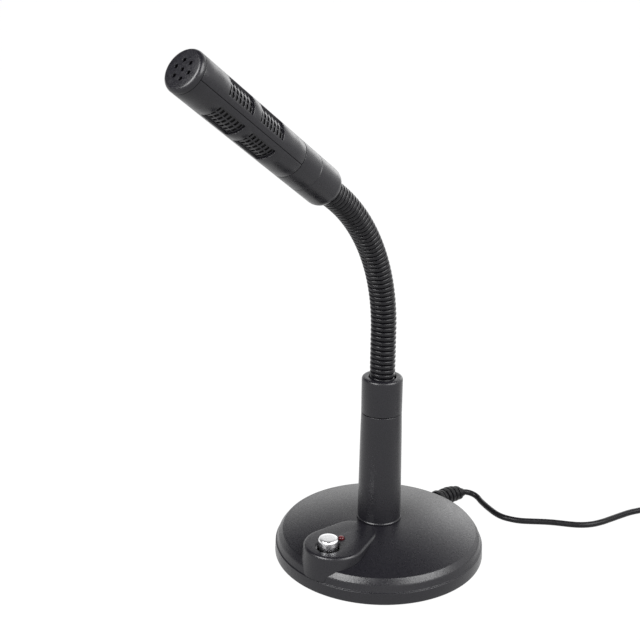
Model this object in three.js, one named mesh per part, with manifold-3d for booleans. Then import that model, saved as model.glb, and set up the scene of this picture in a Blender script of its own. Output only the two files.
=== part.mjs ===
// Desktop microphone: a weighted round base with a switch pod, a post, a gooseneck and a slim
// capsule with grille windows, on a USB lead.
// Millimetres, +Z up, origin at the centre of the base's underside. The switch pod and the capsule
// are at the front, towards -Y, and the lead leaves the base at the back, towards +Y.
import * as THREE from 'three';
import { mergeVertices } from 'three/addons/utils/BufferGeometryUtils.js';
import Module from 'manifold-3d';

const wasm = await Module();
wasm.setup();

// ---------------------------------------------------------------- driving dimensions
const GAP = 0.3; // air left between pieces that touch
const FINE_GAP = 0.15; // air between pieces that slide or press together

const BASE_R = 50; // outer radius of the base
const WALL_TOP_Z = 6.3; // top of the base's upright wall
const RIM_R = 46.1; // edge between the bevel and the domed top
const RIM_Z = 12.2;
const DOME_Z = 18.2; // level centre of the dome
const DOME_FLAT_R = 11;
const SHELL_T = 2.2; // wall of the base cover
const PAD_H = 1.2; // foam foot pad

const POST_FOOT_R = 10.45;
const POST_HEAD_R = 9.45;
const SEAM_Z = 72.6; // joint between the post and its collar
const COLLAR_TOP_Z = 90;
const COLLAR_R = 9.5;

const POD_Y = -34; // centre of the pod's round front
const POD_R = 14.4;
const POD_TAIL_Y = -20.5; // centre of its narrower back end
const POD_TAIL_R = 11.2;
const POD_TOP_Z = 18.4;
const POD_CHAMFER = 1.5;
const POD_DRAFT = 0.15; // growth in radius for each millimetre down
const BUTTON_Y = -38.5;
const BUTTON_R = 4.6;
const BUTTON_TOP_Z = 22.8;
const LED_Y = -29;
const LED_R = 1.45;

const CAPSULE_R = 8.55;
const CAPSULE_L = 93.4;
const CAPSULE_RISE = THREE.MathUtils.degToRad(34.3); // capsule axis above the horizontal
const CAPSULE_ROLL = THREE.MathUtils.degToRad(-15.5); // turn of its windows about its axis
const CAPSULE_BACK = new THREE.Vector3(0, -41.8, 183.4); // centre of its back end

const NECK_R = 5.8;
const NECK_BEND_R = 80;
const NECK_JOINTS = 12;

const LEAD_R = 1.5; // USB lead
const LEAD_Z = 5.5; // height of its exit
const COIL_X = 110; // the spare length is wound into a coil beside the base
const COIL_Y = 138;
const COIL_MEAN_R = 18;
const COIL_WIDE = 9.2; // width and height of the coil's bundle of turns
const COIL_HIGH = 12.2;
const PLUG_X = 135; // the plug lies beside the coil, with its mouth towards -Y
const PLUG_Y = 116; // where the lead enters the plug
const PLUG_Z = 4.3;

// ---------------------------------------------------------------- materials
function plastic(color, roughness = 0.5) {
  return new THREE.MeshStandardMaterial({ color, roughness, metalness: 0 });
}

function metal(color, roughness = 0.35) {
  return new THREE.MeshStandardMaterial({ color, roughness, metalness: 0.9 });
}

const BLACK = '#2b2b2f';
const SOFT_BLACK = '#1c1c1e';
const STEEL = '#9a9ca0';
const SILVER = '#cfd0d2';
const BRASS = '#b08d4a';
const BOARD_GREEN = '#1f5a35';

// ---------------------------------------------------------------- geometry helpers
// Merges shared corners and turns the faces outwards.
function closed(geometry) {
  const bare = geometry.clone();
  for (const extra of ['normal', 'uv', 'uv1', 'color']) bare.deleteAttribute(extra);
  const merged = mergeVertices(bare, 1e-4);
  const kept = [];
  const index = merged.index.array;
  for (let i = 0; i < index.length; i += 3) {
    const [a, b, c] = [index[i], index[i + 1], index[i + 2]];
    if (a !== b && b !== c && c !== a) kept.push(a, b, c);
  }
  if (signedVolume(merged.attributes.position, kept) < 0) kept.reverse();
  merged.setIndex(kept);
  return merged;
}

function signedVolume(position, index) {
  const [a, b, c] = [new THREE.Vector3(), new THREE.Vector3(), new THREE.Vector3()];
  let sum = 0;
  for (let i = 0; i < index.length; i += 3) {
    a.fromBufferAttribute(position, index[i]);
    b.fromBufferAttribute(position, index[i + 1]);
    c.fromBufferAttribute(position, index[i + 2]);
    sum += a.dot(b.cross(c));
  }
  return sum / 6;
}

function toManifold(geometry) {
  const { attributes, index } = closed(geometry);
  const vertProperties = new Float32Array(attributes.position.array);
  const triVerts = new Uint32Array(index.array);
  return new wasm.Manifold(new wasm.Mesh({ numProp: 3, vertProperties, triVerts }));
}

function fromManifold(solid) {
  const mesh = solid.getMesh();
  const geometry = new THREE.BufferGeometry();
  geometry.setAttribute('position', new THREE.BufferAttribute(mesh.vertProperties, 3));
  geometry.setIndex(new THREE.BufferAttribute(mesh.triVerts, 1));
  return geometry;
}

function cut(body, ...tools) {
  let solid = toManifold(body);
  for (const tool of tools) solid = solid.subtract(toManifold(tool));
  return fromManifold(solid);
}

function join(...pieces) {
  let solid = toManifold(pieces[0]);
  for (const piece of pieces.slice(1)) solid = solid.add(toManifold(piece));
  return fromManifold(solid);
}

function common(a, b) {
  return fromManifold(toManifold(a).intersect(toManifold(b)));
}

// A solid of revolution about Z from [radius, height] corners, which close on themselves.
function turned(corners, sides) {
  const outline = [...corners, corners[0]].map(([r, z]) => new THREE.Vector2(r, z));
  return closed(new THREE.LatheGeometry(outline, sides).rotateX(Math.PI / 2));
}

function tubeRing(outer, inner, z0, z1, sides) {
  return turned([[inner, z0], [outer, z0], [outer, z1], [inner, z1]], sides);
}

function rod(radius, z0, z1, sides, x = 0, y = 0) {
  const geometry = new THREE.CylinderGeometry(radius, radius, z1 - z0, sides);
  return geometry.rotateX(Math.PI / 2).translate(x, y, (z0 + z1) / 2);
}

function block(width, depth, z0, z1, x = 0, y = 0) {
  return new THREE.BoxGeometry(width, depth, z1 - z0).translate(x, y, (z0 + z1) / 2);
}

// A tube or bar swept along a smooth curve through the given points.
function swept(points, radius, sides, steps) {
  const section = new THREE.Shape();
  for (let i = 0; i < sides; i += 1) {
    const a = (i / sides) * 2 * Math.PI;
    if (i === 0) section.moveTo(radius, 0);
    else section.lineTo(radius * Math.cos(a), radius * Math.sin(a));
  }
  const path = new THREE.CatmullRomCurve3(points.map((p) => new THREE.Vector3(...p)));
  return new THREE.ExtrudeGeometry(section, { steps, extrudePath: path, curveSegments: 1 });
}

// Joins outlines of equal point count, one above the other, into a closed solid.
function lofted(layers) {
  const count = layers[0].points.length;
  const position = layers.flatMap(({ z, points }) => points.flatMap(([x, y]) => [x, y, z]));
  const index = [];
  for (let k = 0; k + 1 < layers.length; k += 1) {
    for (let i = 0; i < count; i += 1) {
      const [a, b] = [k * count + i, k * count + ((i + 1) % count)];
      index.push(a, b, b + count, a, b + count, a + count);
    }
  }
  const last = (layers.length - 1) * count;
  for (let i = 1; i + 1 < count; i += 1) {
    index.push(0, i + 1, i);
    index.push(last, last + i, last + i + 1);
  }
  const geometry = new THREE.BufferGeometry();
  geometry.setAttribute('position', new THREE.Float32BufferAttribute(position, 3));
  geometry.setIndex(index);
  return closed(geometry);
}

const microphone = new THREE.Group();

function addPart(name, geometry, material, group = microphone) {
  const mesh = new THREE.Mesh(closed(geometry), material);
  mesh.name = name;
  group.add(mesh);
  return mesh;
}

// ---------------------------------------------------------------- base
function domeZ(r) {
  const reach = Math.max(r - DOME_FLAT_R, 0) / (RIM_R - DOME_FLAT_R);
  return DOME_Z - (DOME_Z - RIM_Z) * reach ** 1.7;
}

// Outer outline of the base from the foot of its wall to the middle of its dome.
function baseOutline(inset, foot, centreR) {
  const dome = [38, 29, 20, DOME_FLAT_R].map((r) => [r, domeZ(r) - inset]);
  return [
    [BASE_R - inset, foot],
    [BASE_R - 0.3 - inset, WALL_TOP_Z - inset * 0.3],
    [BASE_R - 0.9 - inset, WALL_TOP_Z + 0.3 - inset * 0.3],
    [BASE_R - 1.7 - inset, 9.6 - inset * 0.6],
    [RIM_R - inset * 0.6, RIM_Z - inset],
    ...dome,
    [centreR, domeZ(centreR) - inset],
  ];
}

const BASE_SIDES = 40;
const SCREW_PLACES = [[31, -24], [-31, -24], [28, 26], [-28, 26]];
const BOSS_R = 3.4;
const COVER_FOOT_Z = 0.8;

// Outline of the pod: round at the front, with straight flanks to a narrower back end.
function podOutline(grow) {
  const lean = Math.asin((POD_R - POD_TAIL_R) / (POD_TAIL_Y - POD_Y));
  const points = [];
  const arc = (cy, r, from, to, steps) => {
    for (let i = 0; i <= steps; i += 1) {
      const a = from + ((to - from) * i) / steps;
      points.push([(r + grow) * Math.cos(a), cy + (r + grow) * Math.sin(a)]);
    }
  };
  arc(POD_TAIL_Y, POD_TAIL_R, lean, Math.PI - lean, 8);
  arc(POD_Y, POD_R, Math.PI - lean, 2 * Math.PI + lean, 20);
  return points;
}

function podSolid(grow, top, chamfer, bottom) {
  const edge = top - chamfer;
  return lofted([
    { z: bottom, points: podOutline(grow + POD_DRAFT * (edge - bottom)) },
    { z: edge, points: podOutline(grow) },
    { z: top, points: podOutline(grow - chamfer) },
  ]);
}

function addBase() {
  const outer = baseOutline(0, COVER_FOOT_Z, 6.4);
  const inner = [
    [6.4, DOME_Z - SHELL_T], [DOME_FLAT_R, DOME_Z - SHELL_T], [26, domeZ(26) - SHELL_T],
    [44.4, RIM_Z - SHELL_T], [BASE_R - 0.6 - SHELL_T, WALL_TOP_Z], [BASE_R - SHELL_T, COVER_FOOT_Z],
  ];
  const shell = turned([...outer, ...inner], BASE_SIDES);
  const bosses = SCREW_PLACES.map(([x, y]) => rod(BOSS_R, 4.6, domeZ(Math.hypot(x, y)) - 1, 12, x, y));
  const pilotHoles = SCREW_PLACES.map(([x, y]) => rod(1.5, 4, 9.6, 8, x, y));
  const podOpening = podSolid(-3.4, 30, 1, 7);
  const leadHole = rod(3.6, 40, 55, 20).rotateX(-Math.PI / 2).translate(0, 0, LEAD_Z);
  const cover = cut(join(shell, ...bosses), ...pilotHoles, podOpening, leadHole);
  addPart('base_cover', cover, plastic(BLACK));

  const floor = tubeRing(47.2, 3, PAD_H + 0.1, 4.2, 36);
  const countersinks = SCREW_PLACES.map(([x, y]) => rod(3.2, 0, 2.9, 12, x, y));
  const clearances = SCREW_PLACES.map(([x, y]) => rod(1.8, 0, 5, 8, x, y));
  const posts = [[-10, -21], [10, -21], [-9, -39], [9, -39]].map(([x, y]) => rod(1.6, 4, 6.2, 8, x, y));
  const leadNotch = block(9, 12, 0, 5, 0, 47.5);
  const underside = cut(join(floor, ...posts), ...countersinks, ...clearances, leadNotch);
  addPart('base_plate', underside, plastic(SOFT_BLACK));

  SCREW_PLACES.forEach(([x, y], i) => {
    const screw = turned([[0, 1.5], [2.7, 1.5], [2.7, 2.7], [1.4, 2.7], [1.4, 9.2], [0, 9.2]], 12);
    addPart(`base_screw_${i + 1}`, screw.translate(x, y, 0), metal(STEEL));
  });

  addPart('foot_pad', rod(46.5, 0, PAD_H, 40), plastic(SOFT_BLACK, 0.95));

  const plate = tubeRing(42, 10.5, 4.5, 9.4, 36);
  const podRoom = block(28, 50, 4, 10, 0, -33);
  const leadRoom = block(11, 20, 4, 10, 0, 38);
  const bossRooms = SCREW_PLACES.map(([x, y]) => rod(BOSS_R + 0.6, 4, 10, 12, x, y));
  addPart('ballast_plate', cut(plate, podRoom, leadRoom, ...bossRooms), metal('#6f7174', 0.6));
}

// ---------------------------------------------------------------- switch pod and electronics
const BOARD_Z = 6.4;
const BOARD_TOP_Z = 7.8;

function addPod() {
  const outside = podSolid(0, POD_TOP_Z, POD_CHAMFER, WALL_TOP_Z + 0.4);
  const baseEnvelope = turned([[0, 0], ...baseOutline(-FINE_GAP, 0, 0)], BASE_SIDES);
  const inside = podSolid(-2.3, POD_TOP_Z - 2, 1, 5);
  const buttonHole = rod(BUTTON_R + 0.5, 10, 30, 28, 0, BUTTON_Y);
  const ledHole = rod(LED_R + 0.15, 10, 30, 16, 0, LED_Y);
  const postRoom = rod(POST_FOOT_R + 1.2, 10, 30, 40);
  addPart('pod_cover', cut(outside, baseEnvelope, inside, buttonHole, ledHole, postRoom), plastic(BLACK));

  const button = turned([
    [0, POD_TOP_Z - 2.6], [4.2, POD_TOP_Z - 2.6], [4.35, POD_TOP_Z], [BUTTON_R, BUTTON_TOP_Z - 0.7],
    [BUTTON_R - 0.5, BUTTON_TOP_Z], [0, BUTTON_TOP_Z],
  ], 28).translate(0, BUTTON_Y, 0);
  addPart('button_cap', button, metal(SILVER, 0.3));
  addPart('switch_plunger', rod(1.9, 11.4, POD_TOP_Z - 2.75, 14, 0, BUTTON_Y), plastic('#d8d4c8'));
  const plungerHole = rod(2.2, 9.4, 14, 14, 0, BUTTON_Y);
  const switchBody = cut(block(8, 8, BOARD_TOP_Z + 0.15, 13.2, 0, BUTTON_Y), plungerHole);
  addPart('switch_body', switchBody, plastic('#3a3a3c'));

  const bulb = turned([
    [0, 13.4], [1.85, 13.4], [1.85, 14.3], [LED_R, 14.3], [LED_R, POD_TOP_Z + 0.1], [1.1, POD_TOP_Z + 0.7],
    [0, POD_TOP_Z + 1],
  ], 16).translate(0, LED_Y, 0);
  const legs = [-1, 1].map((side) => block(0.6, 0.6, BOARD_TOP_Z + 0.15, 13.6, side * 0.9, LED_Y));
  addPart('led', join(bulb, ...legs), plastic('#5c1218', 0.2));

  addPart('circuit_board', block(24, 24, BOARD_Z, BOARD_TOP_Z, 0, -30.5), plastic(BOARD_GREEN, 0.6));
  const onBoard = (name, w, d, h, x, y, color) => {
    addPart(name, block(w, d, BOARD_TOP_Z + 0.15, BOARD_TOP_Z + h, x, y), plastic(color));
  };
  onBoard('audio_chip', 7, 7, 1.3, -8, -33, '#202022');
  onBoard('crystal', 3, 7, 3.2, 9.5, -35, '#b9babd');
  onBoard('mic_socket', 5, 4, 4.2, -6, -23.5, '#e4dfd0');
  onBoard('usb_socket', 8, 4, 4.2, 7, -23.5, '#e4dfd0');
  addPart('capacitor', rod(2, BOARD_TOP_Z + 0.15, 12.4, 14, 9.5, -28.5), plastic('#31343a', 0.4));
}

// ---------------------------------------------------------------- post and collar
function addPost() {
  const postBottom = DOME_Z + 0.15;
  const spigotBottom = 9.9;
  addPart('post', turned([
    [3.6, spigotBottom], [6, spigotBottom], [6, postBottom], [POST_FOOT_R - 0.4, postBottom],
    [POST_FOOT_R, postBottom + 0.5], [POST_HEAD_R + 0.3, SEAM_Z - 10], [POST_HEAD_R, SEAM_Z - 0.6],
    [POST_HEAD_R - 0.5, SEAM_Z - FINE_GAP], [7.4, SEAM_Z - FINE_GAP], [7.4, 26], [3.6, 22],
  ], 24), plastic(BLACK));
  addPart('post_washer', tubeRing(9.5, 6.25, 15.1, 15.85, 24), metal(STEEL));
  addPart('post_nut', cut(rod(9, 10.6, 14.95, 6), rod(6.2, 10, 16, 24)), metal(BRASS));

  addPart('collar', turned([
    [7.1, SEAM_Z - 9], [7.1, SEAM_Z + FINE_GAP], [COLLAR_R - 0.6, SEAM_Z + FINE_GAP],
    [COLLAR_R, SEAM_Z + 0.7], [COLLAR_R, COLLAR_TOP_Z - 2.2], [COLLAR_R - 0.5, COLLAR_TOP_Z - 0.8],
    [COLLAR_R - 1.6, COLLAR_TOP_Z], [6.5, COLLAR_TOP_Z], [6.3, COLLAR_TOP_Z - 1.6],
    [6, COLLAR_TOP_Z - 2.2], [6, 76.5], [4.6, 76.5], [4.6, SEAM_Z - 9],
  ], 24), plastic(BLACK));
  const leadUp = [[0, 0, 92], [0, 0, 60], [0, 0, 30], [0, 0, 13], [0, -1, 8.8], [-1.5, -5, 7],
    [-3.5, -11, 7.4], [-5.2, -16, 9.4], [-6, -19, 10], [-6, -21.2, 10]];
  addPart('mic_lead', swept(leadUp, 1, 8, 20), plastic('#49494c'));
}

// ---------------------------------------------------------------- gooseneck
const STRAIGHT_UP = new THREE.Vector3(0, 0, 1);
const LEAN = Math.PI / 2 - CAPSULE_RISE; // capsule axis away from the vertical
const CAPSULE_AXIS = new THREE.Vector3(0, -Math.sin(LEAN), Math.cos(LEAN));
const NECK_TOP_RUN = (-CAPSULE_BACK.y - NECK_BEND_R * (1 - Math.cos(LEAN))) / Math.sin(LEAN);
const NECK_BEND_Z = CAPSULE_BACK.z - NECK_TOP_RUN * Math.cos(LEAN) - NECK_BEND_R * Math.sin(LEAN);
const NECK_FOOT_RUN = NECK_BEND_Z - COLLAR_TOP_Z;
const NECK_L = NECK_FOOT_RUN + NECK_BEND_R * LEAN + NECK_TOP_RUN;
const JOINT_STEP = NECK_L / NECK_JOINTS;

// Point of the neck's centre line at a given length from the collar: up, round the bend, and on.
function neckPoint(length) {
  if (length <= NECK_FOOT_RUN) return new THREE.Vector3(0, 0, COLLAR_TOP_Z + length);
  const turn = Math.min((length - NECK_FOOT_RUN) / NECK_BEND_R, LEAN);
  const y = -NECK_BEND_R * (1 - Math.cos(turn));
  const bent = new THREE.Vector3(0, y, NECK_BEND_Z + NECK_BEND_R * Math.sin(turn));
  const past = length - NECK_FOOT_RUN - NECK_BEND_R * LEAN;
  return past > 0 ? bent.addScaledVector(CAPSULE_AXIS, past) : bent;
}

const BALL_R = 3.6;
const BORE_R = 1.5;
const LINK_SIDES = 12;
const LINK_CLEARANCE = 0.9; // from a joint's centre to the end face of each link

// Upper end of a link: an end face with a ball on it, centred on the joint at height z.
function ballEnd(z) {
  const start = Math.acos(LINK_CLEARANCE / BALL_R);
  const arc = [1, 0.5].map((part) => {
    const a = Math.PI - start + (start - Math.PI) * (1 - part) * 0.86;
    return [BALL_R * Math.sin(a), z + BALL_R * Math.cos(a)];
  });
  return [[NECK_R - 0.4, z - LINK_CLEARANCE], ...arc, [BORE_R, z + BALL_R * 0.9]];
}

// Lower end of a link: a socket round the ball of the link below, centred on the joint at z = 0.
function socketEnd() {
  return [[BORE_R, 4.1], [4, 4.1], [4, LINK_CLEARANCE], [NECK_R - 0.4, LINK_CLEARANCE]];
}

function addNeck(capsule) {
  const joint = (k) => neckPoint(JOINT_STEP * (k - 0.5));
  const firstZ = joint(1).z;
  const foot = turned([
    [BORE_R, 77], [NECK_R, 77], [NECK_R, firstZ - LINK_CLEARANCE - 0.4], ...ballEnd(firstZ),
  ], LINK_SIDES);
  addPart('neck_foot_ferrule', foot, metal(SOFT_BLACK, 0.45));

  for (let k = 1; k < NECK_JOINTS; k += 1) {
    const along = joint(k + 1).sub(joint(k));
    const length = along.length();
    const link = turned([
      ...socketEnd(), [NECK_R, LINK_CLEARANCE + 0.4], [NECK_R, length - LINK_CLEARANCE - 0.4],
      ...ballEnd(length),
    ], LINK_SIDES);
    const mesh = addPart(`neck_link_${String(k).padStart(2, '0')}`, link, metal(SOFT_BLACK, 0.45));
    mesh.quaternion.setFromUnitVectors(STRAIGHT_UP, along.normalize());
    mesh.position.copy(joint(k));
  }

  const head = turned([
    ...socketEnd(), [NECK_R, LINK_CLEARANCE + 0.4], [NECK_R, 18], [BORE_R, 18],
  ], LINK_SIDES).translate(0, 0, -JOINT_STEP / 2);
  addPart('neck_head_ferrule', head, metal(SOFT_BLACK, 0.45), capsule);
}

// ---------------------------------------------------------------- capsule
// The capsule's own frame: +Z from its back end to its face, +Y on its upper side before its roll.
const FRONT_SEAM = CAPSULE_L - 2.2;
const BACK_SEAM = CAPSULE_L - 65;
const FACE_HOLE_R = 0.75;
const FACE_HOLE_RING_R = 3.65;
const WINDOWS = [[43.4, 58.1], [62.6, 77.2]]; // [back, front] of each ring of four windows
const WINDOW_MIDDLE = 43; // degrees from the middle of a half shell to the middle of its windows
const WINDOW_HALF_ANGLE = 31;
const SHELL_IN_R = 7.1;
const WINDOW_FLOOR_R = 7.85;
const CAPSULE_SIDES = 32;
const SLOTS_IN_WINDOW = 7;
const SLOT_HALF_ANGLE = 25;
const SLOT_WIDTH = 0.9;

// A wedge from the capsule's axis outwards, over the given heights and degrees from +Y.
function wedge(from, to, z0, z1) {
  const outline = [[0, 0]];
  for (let i = 0; i <= 4; i += 1) {
    const a = THREE.MathUtils.degToRad(from + ((to - from) * i) / 4);
    outline.push([-20 * Math.sin(a), 20 * Math.cos(a)]);
  }
  return lofted([{ z: z0, points: outline }, { z: z1, points: outline }]);
}

// Half of the capsule's middle, with four recessed windows and the slots through their floors.
function addShell(name, facing, capsule) {
  const tube = tubeRing(CAPSULE_R, SHELL_IN_R, BACK_SEAM + FINE_GAP, FRONT_SEAM - FINE_GAP, CAPSULE_SIDES);
  const half = common(tube, block(40, 20, 0, CAPSULE_L, 0, 10.1).rotateZ(THREE.MathUtils.degToRad(facing)));
  const recesses = [];
  const slots = [];
  for (const [z0, z1] of WINDOWS) {
    const pitch = (z1 - z0) / SLOTS_IN_WINDOW;
    for (const middle of [facing - WINDOW_MIDDLE, facing + WINDOW_MIDDLE]) {
      recesses.push(wedge(middle - WINDOW_HALF_ANGLE, middle + WINDOW_HALF_ANGLE, z0, z1));
      for (let i = 0; i < SLOTS_IN_WINDOW; i += 1) {
        const back = z0 + pitch * (i + 0.5) - SLOT_WIDTH / 2;
        slots.push(wedge(middle - SLOT_HALF_ANGLE, middle + SLOT_HALF_ANGLE, back, back + SLOT_WIDTH));
      }
    }
  }
  const core = rod(WINDOW_FLOOR_R, 0, CAPSULE_L, CAPSULE_SIDES);
  const windows = recesses.map((recess) => cut(recess, core));
  addPart(name, cut(half, ...windows, ...slots), plastic(BLACK), capsule);
}

function addCapsule() {
  const capsule = new THREE.Group();
  capsule.position.copy(CAPSULE_BACK);
  capsule.rotation.set(LEAN, 0, CAPSULE_ROLL);
  microphone.add(capsule);

  addPart('capsule_tail', turned([
    [5.95, 0], [CAPSULE_R - 2.4, 0], [CAPSULE_R - 1.2, 0.55], [CAPSULE_R - 0.4, 1.7], [CAPSULE_R, 3.8],
    [CAPSULE_R, BACK_SEAM - FINE_GAP], [SHELL_IN_R - 0.2, BACK_SEAM - FINE_GAP],
    [SHELL_IN_R - 0.2, BACK_SEAM + 4], [5.6, BACK_SEAM + 4], [5.6, 17], [5.95, 17],
  ], CAPSULE_SIDES), plastic(BLACK), capsule);
  addShell('capsule_shell_upper', 0, capsule);
  addShell('capsule_shell_lower', 180, capsule);
  addPart('window_foam', tubeRing(6.8, 6.1, 41, 80, 20), plastic(SOFT_BLACK, 1), capsule);

  const cap = turned([
    [0, CAPSULE_L], [6.9, CAPSULE_L], [7.7, CAPSULE_L - 0.4], [8.3, CAPSULE_L - 1.1],
    [CAPSULE_R, CAPSULE_L - 1.9], [CAPSULE_R, FRONT_SEAM], [6.9, FRONT_SEAM],
    [6.9, FRONT_SEAM - 2.6], [6.1, FRONT_SEAM - 2.6], [6.1, FRONT_SEAM + 0.4], [0, FRONT_SEAM + 0.4],
  ], CAPSULE_SIDES);
  const faceHoles = [[0, 0]];
  for (let i = 0; i < 6; i += 1) {
    const a = (i / 6) * 2 * Math.PI;
    faceHoles.push([FACE_HOLE_RING_R * Math.cos(a), FACE_HOLE_RING_R * Math.sin(a)]);
  }
  const drills = faceHoles.map(([x, y]) => rod(FACE_HOLE_R, FRONT_SEAM - 5, CAPSULE_L + 5, 8, x, y));
  addPart('front_cap', cut(cap, ...drills), plastic(BLACK), capsule);
  addPart('face_foam', rod(5.9, FRONT_SEAM - 2.4, FRONT_SEAM + 0.2, 24), plastic(SOFT_BLACK, 1), capsule);
  addPart('microphone_element', rod(4.85, FRONT_SEAM - 9.5, FRONT_SEAM - 3, 28), metal(STEEL), capsule);
  const holder = tubeRing(6.8, 5, FRONT_SEAM - 9.7, FRONT_SEAM - 3.2, 28);
  addPart('element_holder', holder, plastic(SOFT_BLACK, 0.9), capsule);
  addPart('element_lead', rod(0.9, 16, FRONT_SEAM - 9.9, 10), plastic('#49494c'), capsule);
  return capsule;
}

// ---------------------------------------------------------------- USB lead
// Route of the lead over the surface, from the tip of its strain relief to the coil.
const LEAD_ROUTE = [
  [3.6, 71, 3.9], [4.8, 72.6, 3.5], [6.9, 73.9, 2.9], [9.8, 74.1, 2.1], [13.6, 72, 1.6], [18, 69.4, 1.6],
  [22.3, 67.2, 1.6], [26.4, 65.4, 1.6], [30.8, 64.4, 1.6], [35.5, 64.9, 1.6], [40.2, 66.6, 1.6],
  [44.5, 69.4, 1.6], [48.5, 72.3, 1.6], [52.7, 75.1, 1.6], [57.1, 77.5, 1.6], [61.5, 79.7, 1.6],
  [65.7, 82.4, 1.6], [69.4, 86.2, 1.6], [72.3, 91.3, 1.6], [74.7, 97.8, 1.6], [77, 104.6, 1.6],
  [79.4, 111, 1.6], [82.3, 116.4, 1.6], [85.4, 122, 1.6], [87.4, 127.4, 1.6],
];

// Route of the lead's end, from the coil's top down to its plug.
const TAIL_ROUTE = [
  [134.6, 132, 8.4], [134.9, 128, 6.8], [135, 124, 5.4], [135, 120, 4.5], [135, 116.4, 4.3],
];

const RELIEF_FOOT_Y = 52.6; // the strain relief is straight up to here, then the lead's weight bends it
const RELIEF_TIP_Y = 70;
const RELIEF_SIDE = 3.2;
const RELIEF_DROP = 1.4;

// Bends the strain relief's barrel sideways and down.
function drooped(geometry) {
  const position = geometry.attributes.position;
  for (let i = 0; i < position.count; i += 1) {
    const reach = Math.max(position.getY(i) - RELIEF_FOOT_Y, 0) / (RELIEF_TIP_Y - RELIEF_FOOT_Y);
    position.setX(i, position.getX(i) + RELIEF_SIDE * reach ** 2);
    position.setZ(i, position.getZ(i) - RELIEF_DROP * reach ** 2);
  }
  return geometry;
}

function addLead() {
  const ribs = [];
  [4.3, 4.4, 4.4, 4.2, 3.8].forEach((r, i) => {
    const y = 54 + i * 2.8;
    ribs.push([r - 1, y], [r, y + 0.3], [r, y + 2]);
  });
  const relief = turned([
    [1.75, 42.6], [4, 42.6], [4, 44.5], [3.4, 44.5], [3.4, 50.3], [5.2, 50.3], [5.2, RELIEF_FOOT_Y],
    ...ribs, [2.6, 68], [2.3, RELIEF_TIP_Y], [1.75, RELIEF_TIP_Y], [1.75, 64], [1.75, 58],
  ], 14).rotateX(-Math.PI / 2).translate(0, 0, LEAD_Z);
  addPart('strain_relief', drooped(relief), plastic(SOFT_BLACK, 0.75));
  addPart('lead_inner', swept([
    [0, 52, LEAD_Z], [0, 44, LEAD_Z], [0, 38, 6.2], [1.5, 32, 8.6], [5, 27, 11.4], [10.5, 20, 11.6],
    [14, 10, 11.8], [14.5, 0, 11.8], [12.5, -10, 11.6], [8.6, -16.4, 10.4], [7, -20.9, 10],
  ], 1.4, 8, 26), plastic(SOFT_BLACK));
  addPart('usb_lead', swept(LEAD_ROUTE, LEAD_R, 8, 30), plastic(SOFT_BLACK));
  addPart('usb_lead_end', swept(TAIL_ROUTE, LEAD_R, 8, 6), plastic(SOFT_BLACK));
}

function addCoil() {
  const [near, far] = [COIL_MEAN_R - COIL_WIDE / 2, COIL_MEAN_R + COIL_WIDE / 2];
  const [low, high] = [0.1, 0.1 + COIL_HIGH];
  const ring = turned([
    [near, low + 1.5], [near + 1.5, low], [far - 1.5, low], [far, low + 1.5],
    [far, high - 1.5], [far - 1.5, high], [near + 1.5, high], [near, high - 1.5],
  ], 32).translate(COIL_X, COIL_Y, 0);
  const tieX = COIL_X - COIL_MEAN_R * Math.SQRT1_2;
  const tieY = COIL_Y + COIL_MEAN_R * Math.SQRT1_2;
  const aroundBundle = (inset, width) => {
    const bar = block(COIL_WIDE - inset * 2, width, low + inset, high - inset);
    return bar.rotateZ((3 * Math.PI) / 4).translate(tieX, tieY, 0);
  };
  addPart('lead_coil', cut(ring, cut(aroundBundle(-0.5, 5), aroundBundle(1.2, 6))), plastic(SOFT_BLACK));
  addPart('coil_tie', cut(aroundBundle(0, 4.4), aroundBundle(0.9, 6)), plastic('#d9d9d6'));
}

function addPlug() {
  const body = turned([[0, 0], [2.6, 0], [3.1, 6], [3.4, 6], [3.4, 8], [0, 8]], 14).rotateX(Math.PI / 2);
  const grip = block(15.6, 21, -3.9, 3.9, 0, -17.5);
  const boot = join(body, block(12, 3, -3.2, 3.2, 0, -29.3), grip);
  const seat = block(12.6, 4, -2.8, 2.8, 0, -29.5);
  const bore = rod(1.75, -10, 0.1, 12).rotateX(-Math.PI / 2).translate(0, 0.1, 0);
  const place = (geometry) => geometry.translate(PLUG_X, PLUG_Y, PLUG_Z);
  addPart('plug_body', place(cut(boot, seat, bore)), plastic(SOFT_BLACK));
  const shell = cut(block(12, 18.8, -2.25, 2.25, 0, -37.3), block(11.3, 18.3, -1.9, 1.9, 0, -38.15));
  addPart('plug_shell', place(shell), metal(STEEL));
  addPart('plug_insert', place(block(11, 16.9, -1.75, 0.1, 0, -37.75)), plastic('#e8e8e6'));
}

addBase();
addPod();
addPost();
addNeck(addCapsule());
addLead();
addCoil();
addPlug();

export default microphone;
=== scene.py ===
"""Looks of a desktop microphone: a weighted round base with a button and a lamp, a post, a
gooseneck and a slim capsule with grille windows, on a USB lead.

Metres, +Z up, front towards -Y. Sizes repeat the CAD model's, so each piece lies in its place.
"""

import math

import bmesh
import bpy
from mathutils import Matrix, Vector


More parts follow.
